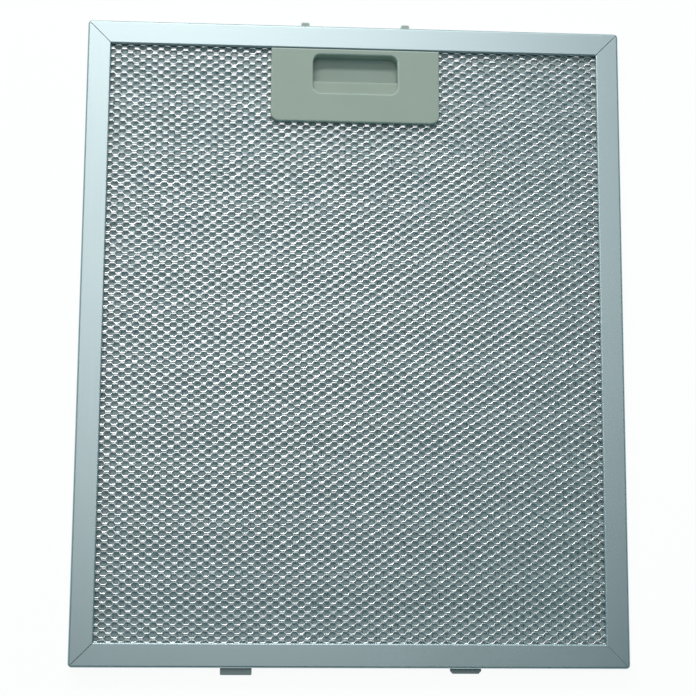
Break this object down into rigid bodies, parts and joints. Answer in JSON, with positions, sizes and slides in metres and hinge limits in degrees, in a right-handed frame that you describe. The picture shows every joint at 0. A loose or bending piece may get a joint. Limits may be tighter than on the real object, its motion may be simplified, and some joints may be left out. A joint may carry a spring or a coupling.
{
  "type": "cooker hood grease filter",
  "caption": "Flat rectangular grease filter for a cooker hood: folded aluminium channel frame around expanded mesh layers, with a recessed finger latch and hook tabs.",
  "frame": {"origin": "middle of the frame's outline on its back face", "axes": "+X across the filter, +Y from the hook tabs towards the latch, +Z from the back face to the handle face"},
  "size_m": [0.253, 0.306, 0.009],
  "materials": {
    "frame_aluminium": "satin rolled aluminium strip, faintly brushed along each side",
    "mesh_aluminium": "bright mill finish expanded aluminium",
    "foil_aluminium": "dull aluminium foil",
    "handle_plastic": "moulded grey plastic with a fine satin grain",
    "latch_plastic": "moulded grey plastic with a fine satin grain",
    "spring_steel": "bright spring wire"
  },
  "bodies": {
    "filter": {"channel_frame": "frame_aluminium", "front_mesh": "mesh_aluminium", "filter_layer_1": "foil_aluminium", "filter_layer_2": "foil_aluminium", "filter_layer_3": "foil_aluminium", "rear_mesh": "mesh_aluminium", "handle_front": "handle_plastic", "handle_back": "handle_plastic", "left_latch_spring": "spring_steel", "right_latch_spring": "spring_steel"},
    "latch": {"latch_slide": "latch_plastic"}
  },
  "joints": [
    {"name": "latch_pull", "type": "slide", "parent": "filter", "child": "latch", "axis": [0, -1, 0], "range_m": [0, 0.004], "stiffness_N_per_m": 600, "springref_m": -0.004, "deforming": ["left_latch_spring", "right_latch_spring"]}
  ]
}
